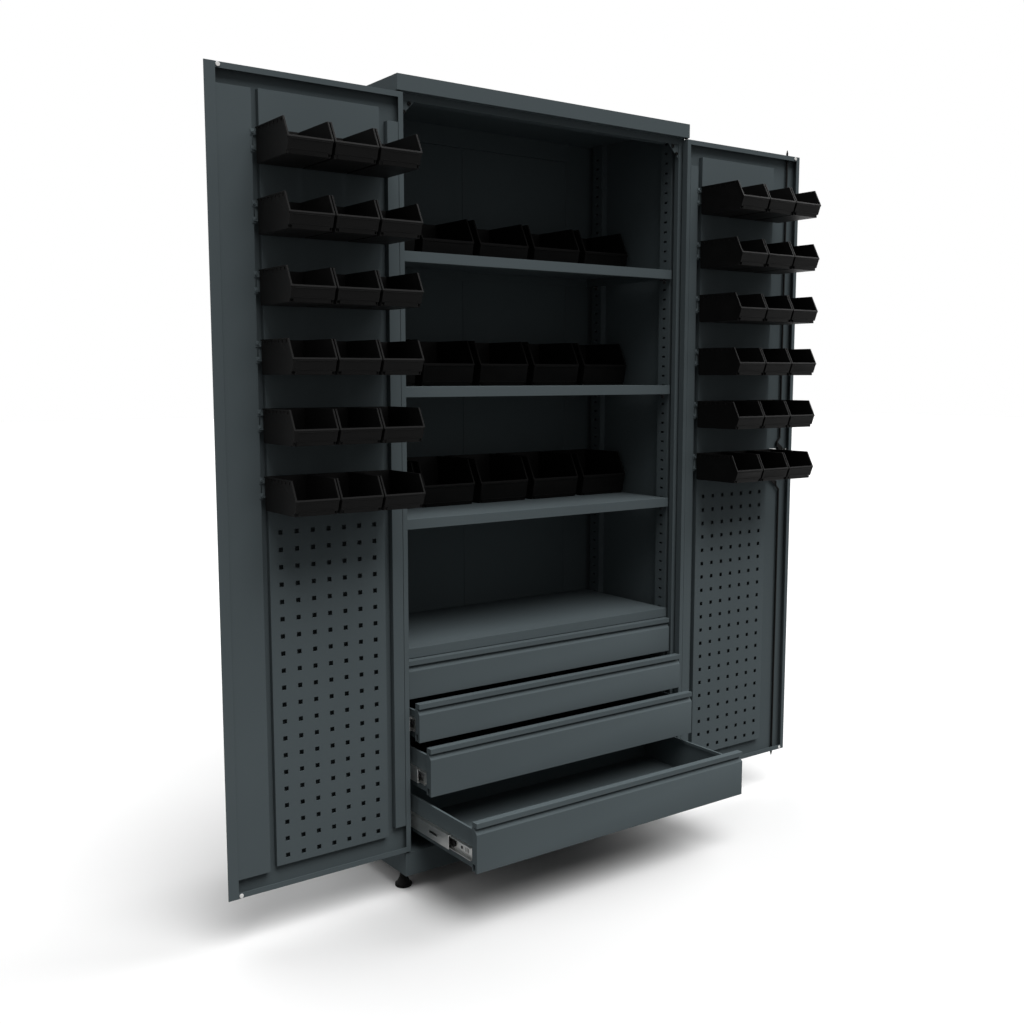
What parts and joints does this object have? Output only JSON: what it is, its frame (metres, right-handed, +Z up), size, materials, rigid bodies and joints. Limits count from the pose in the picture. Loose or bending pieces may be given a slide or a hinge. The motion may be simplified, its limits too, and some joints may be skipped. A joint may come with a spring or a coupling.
{
  "type": "tool cabinet with doors",
  "caption": "Tall steel tool cabinet with two swing doors carrying hook panels and hanging bins, shelves with bins and pull-out drawers below.",
  "frame": {"origin": "on the floor, at the middle of the footprint with the doors open and the drawers as drawn", "axes": "+Z up, -Y towards the front"},
  "size_m": [1.77, 0.676, 1.8945],
  "materials": {
    "painted_steel": "satin powder coat with a fine texture",
    "zinc_steel": "bright zinc plating",
    "black_plastic": "matt moulded",
    "white_plastic": "smooth moulded"
  },
  "bodies": {
    "cabinet": {"side_panel_left": "painted_steel", "side_panel_right": "painted_steel", "back_sheets": "painted_steel", "roof_sheet": "painted_steel", "roof_channel": "painted_steel", "top_rail": "painted_steel", "corner_gussets": "painted_steel", "base_floor": "painted_steel", "plinth_channel": "painted_steel", "foot_pads": "black_plastic", "foot_studs": "zinc_steel", "hinge_bushes": "white_plastic", "slotted_uprights": "painted_steel", "drawer_deck": "painted_steel", "shelf_lower": "painted_steel", "shelf_middle": "painted_steel", "shelf_upper": "painted_steel", "shelf_clips": "zinc_steel", "shelf_bins": "black_plastic", "slide_cabinet_members": "zinc_steel"},
    "door_left": {"door_left_leaf": "painted_steel", "door_left_perforated_panel": "painted_steel", "door_left_stiffener": "painted_steel", "door_left_edge_channel": "painted_steel", "door_left_meeting_strip": "painted_steel", "door_left_pivot_pins": "zinc_steel", "door_left_bin_rails": "painted_steel", "door_left_bins_upper": "black_plastic", "door_left_bins_lower": "black_plastic", "door_left_bumpers": "white_plastic"},
    "door_right": {"door_right_leaf": "painted_steel", "door_right_perforated_panel": "painted_steel", "door_right_stiffener": "painted_steel", "door_right_pivot_pins": "zinc_steel", "door_right_bin_rails": "painted_steel", "door_right_bins_upper": "black_plastic", "door_right_bins_lower": "black_plastic", "door_right_bumpers": "white_plastic", "lock_case": "zinc_steel", "rod_guides": "black_plastic"},
    "lock_turn": {"lock_handle": "black_plastic", "lock_cam": "zinc_steel"},
    "rod_upper": {"lock_rod_upper": "painted_steel"},
    "rod_lower": {"lock_rod_lower": "painted_steel"},
    "drawer_1": {"drawer_1_front": "painted_steel", "drawer_1_box": "painted_steel", "drawer_1_slide_members": "zinc_steel"},
    "drawer_1_middle_members": {"drawer_1_middle_members": "zinc_steel"},
    "drawer_2": {"drawer_2_front": "painted_steel", "drawer_2_box": "painted_steel", "drawer_2_slide_members": "zinc_steel"},
    "drawer_2_middle_members": {"drawer_2_middle_members": "zinc_steel"},
    "drawer_3": {"drawer_3_front": "painted_steel", "drawer_3_box": "painted_steel", "drawer_3_slide_members": "zinc_steel"},
    "drawer_3_middle_members": {"drawer_3_middle_members": "zinc_steel"},
    "drawer_4": {"drawer_4_front": "painted_steel", "drawer_4_box": "painted_steel", "drawer_4_slide_members": "zinc_steel"},
    "drawer_4_middle_members": {"drawer_4_middle_members": "zinc_steel"}
  },
  "joints": [
    {"name": "door_left_hinge", "type": "hinge", "parent": "cabinet", "child": "door_left", "pos_m": [-0.4341, -0.0685, 0.95], "axis": [0, 0, 1], "range_deg": [0, 90]},
    {"name": "door_right_hinge", "type": "hinge", "parent": "cabinet", "child": "door_right", "pos_m": [0.4461, -0.0685, 0.95], "axis": [0, 0, -1], "range_deg": [0, 90]},
    {"name": "lock_turn", "type": "hinge", "parent": "door_right", "child": "lock_turn", "pos_m": [0.832, -0.0693, 0.977], "axis": [0, 1, 0], "range_deg": [0, 90]},
    {"name": "rod_upper_slide", "type": "slide", "parent": "door_right", "child": "rod_upper", "axis": [0, 0, -1], "range_m": [0, 0.02556]},
    {"name": "rod_lower_slide", "type": "slide", "parent": "door_right", "child": "rod_lower", "axis": [0, 0, 1], "range_m": [0, 0.02556]},
    {"name": "drawer_1_slide", "type": "slide", "parent": "cabinet", "child": "drawer_1", "axis": [0, -1, 0], "range_m": [0, 0.35]},
    {"name": "drawer_1_middle_slide", "type": "slide", "parent": "cabinet", "child": "drawer_1_middle_members", "axis": [0, -1, 0], "range_m": [-0.0001, 0.2451]},
    {"name": "drawer_2_slide", "type": "slide", "parent": "cabinet", "child": "drawer_2", "axis": [0, -1, 0], "range_m": [-0.045, 0.305]},
    {"name": "drawer_2_middle_slide", "type": "slide", "parent": "cabinet", "child": "drawer_2_middle_members", "axis": [0, -1, 0], "range_m": [-0.0316, 0.2136]},
    {"name": "drawer_3_slide", "type": "slide", "parent": "cabinet", "child": "drawer_3", "axis": [0, -1, 0], "range_m": [-0.094, 0.256]},
    {"name": "drawer_3_middle_slide", "type": "slide", "parent": "cabinet", "child": "drawer_3_middle_members", "axis": [0, -1, 0], "range_m": [-0.0659, 0.1793]},
    {"name": "drawer_4_slide", "type": "slide", "parent": "cabinet", "child": "drawer_4", "axis": [0, -1, 0], "range_m": [-0.2835, 0.0665]},
    {"name": "drawer_4_middle_slide", "type": "slide", "parent": "cabinet", "child": "drawer_4_middle_members", "axis": [0, -1, 0], "range_m": [-0.19855, 0.04665]}
  ],
  "couplings": [
    {"joint": "rod_upper_slide", "follows": "lock_turn", "m_per_rad": 0.016206},
    {"joint": "rod_lower_slide", "follows": "lock_turn", "m_per_rad": 0.016206},
    {"joint": "drawer_1_middle_slide", "follows": "drawer_1_slide", "ratio": 0.7},
    {"joint": "drawer_2_middle_slide", "follows": "drawer_2_slide", "ratio": 0.7},
    {"joint": "drawer_3_middle_slide", "follows": "drawer_3_slide", "ratio": 0.7},
    {"joint": "drawer_4_middle_slide", "follows": "drawer_4_slide", "ratio": 0.7}
  ]
}
